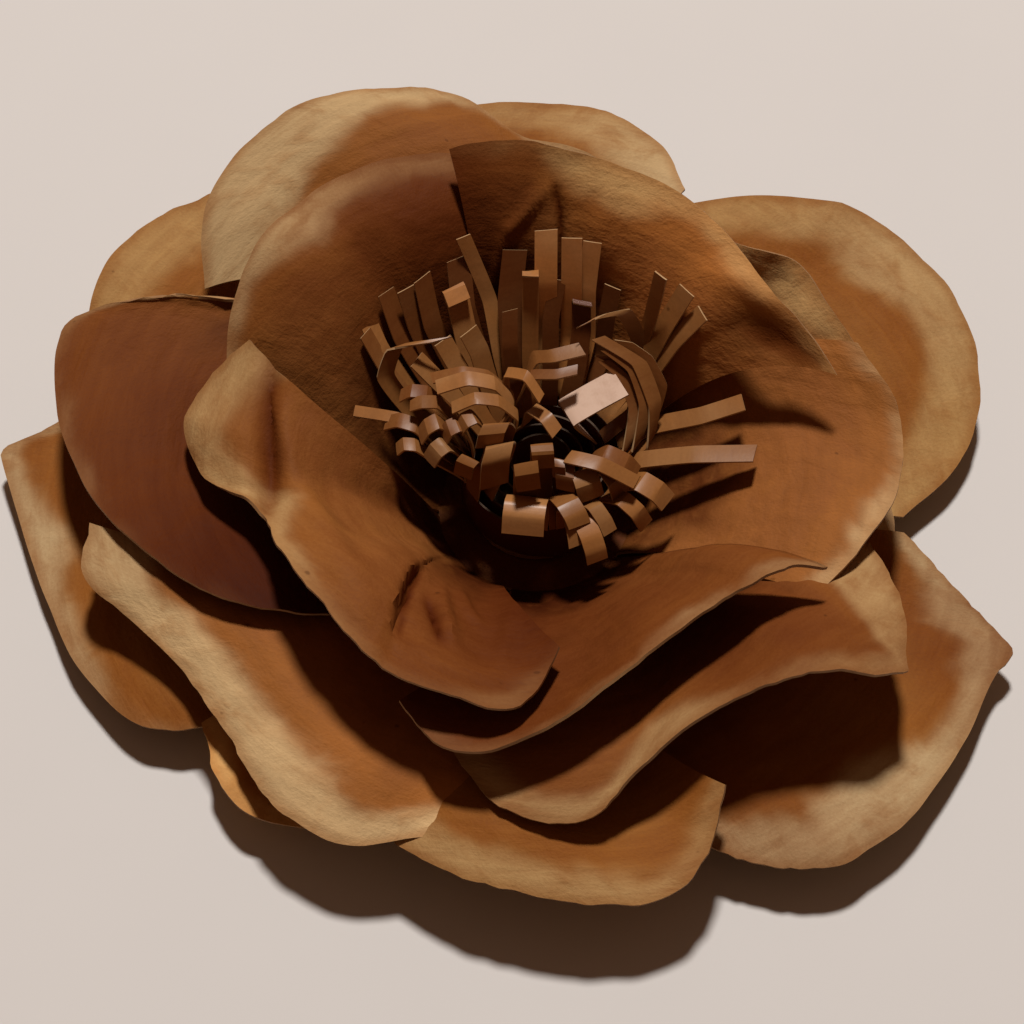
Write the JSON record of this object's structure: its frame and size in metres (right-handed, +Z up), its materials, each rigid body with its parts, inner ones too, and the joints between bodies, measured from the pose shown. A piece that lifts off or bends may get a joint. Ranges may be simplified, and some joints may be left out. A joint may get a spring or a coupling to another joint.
{
  "type": "paper flower",
  "caption": "Handmade paper flower: stacked slit discs of stained card, curled into overlapping petals around a rolled, fringed centre.",
  "frame": {"origin": "middle of the bottom disc's underside, on the surface that the flower stands on", "axes": "+Z up through the rolled centre, +X to the right and +Y away from the viewer who faces the low petals"},
  "size_m": [0.0966, 0.0888, 0.0295],
  "materials": {
    "golden card": "matt card, stained golden brown in mottled patches, paler at the rims",
    "brown card": "matt card, stained deeper brown towards the middle, with fine fibres and specks",
    "fringe card": "smooth card with a slight pearly sheen and pale cut edges",
    "glue": "dried craft glue, semi-clear"
  },
  "bodies": {
    "root": {"bottom_petals": "golden card", "lower_petals": "golden card", "upper_petals": "brown card", "inner_petals": "brown card", "fringed_roll": "fringe card", "glue_bottom": "glue", "glue_lower": "glue", "glue_upper": "glue", "glue_roll": "glue"}
  },
  "joints": []
}
